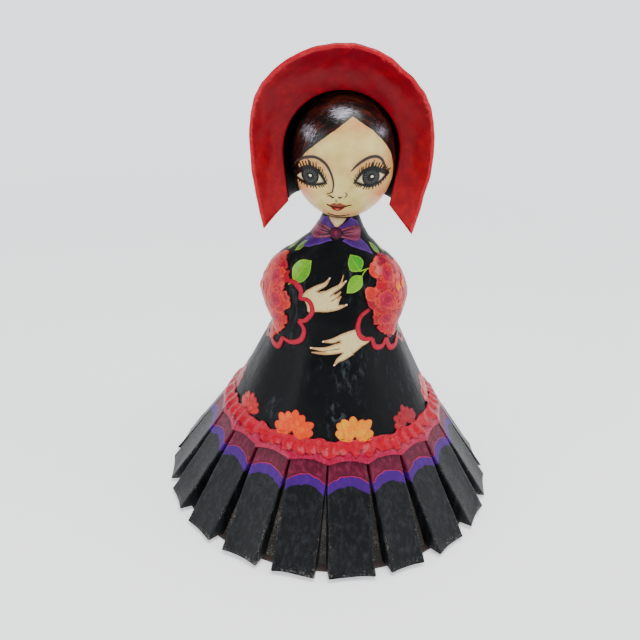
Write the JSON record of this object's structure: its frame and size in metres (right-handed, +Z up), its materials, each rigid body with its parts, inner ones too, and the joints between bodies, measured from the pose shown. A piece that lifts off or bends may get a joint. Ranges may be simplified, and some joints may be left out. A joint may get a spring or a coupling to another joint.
{
  "type": "papier-mache lady figure",
  "caption": "Hollow papier-mache folk-art lady with a bell-shaped body, puffed sleeves, a painted pleated skirt and a horseshoe bonnet, standing on a flat card disc.",
  "frame": {"origin": "on the surface that the figure stands on, under the middle of the figure", "axes": "+Z up, and the figure faces -Y, so that its own left is +X"},
  "size_m": [0.2862, 0.2862, 0.3558],
  "materials": {
    "dress_black": "gloss varnish over black paint on papier-mache, brushed, rubbed thin in places",
    "pleat_black": "gloss varnish over black paint on folded card, chipped and dusty along the folds",
    "hem_red": "gloss varnish over red and rose paint on paper",
    "face_cream": "gloss varnish over cream paint on papier-mache",
    "bonnet_red": "gloss varnish over crimson paint on card, worn at the rim",
    "bare_card": "bare brown card, matt, dusty",
    "reed": "bare dry reed, matt"
  },
  "bodies": {
    "root": {"base_disc": "bare_card", "body_shell": "dress_black", "sleeve_left": "dress_black", "sleeve_right": "dress_black", "hem_band": "hem_red", "head_shell": "face_cream", "neck_reed": "reed", "bonnet_crown": "bonnet_red", "bonnet_brim": "bonnet_red", "pleat_01": "pleat_black", "pleat_02": "pleat_black", "pleat_03": "pleat_black", "pleat_04": "pleat_black", "pleat_05": "pleat_black", "pleat_06": "pleat_black", "pleat_07": "pleat_black", "pleat_08": "pleat_black", "pleat_09": "pleat_black", "pleat_10": "pleat_black", "pleat_11": "pleat_black", "pleat_12": "pleat_black", "pleat_13": "pleat_black", "pleat_14": "pleat_black", "pleat_15": "pleat_black", "pleat_16": "pleat_black", "pleat_17": "pleat_black", "pleat_18": "pleat_black", "pleat_19": "pleat_black", "pleat_20": "pleat_black"}
  },
  "joints": []
}
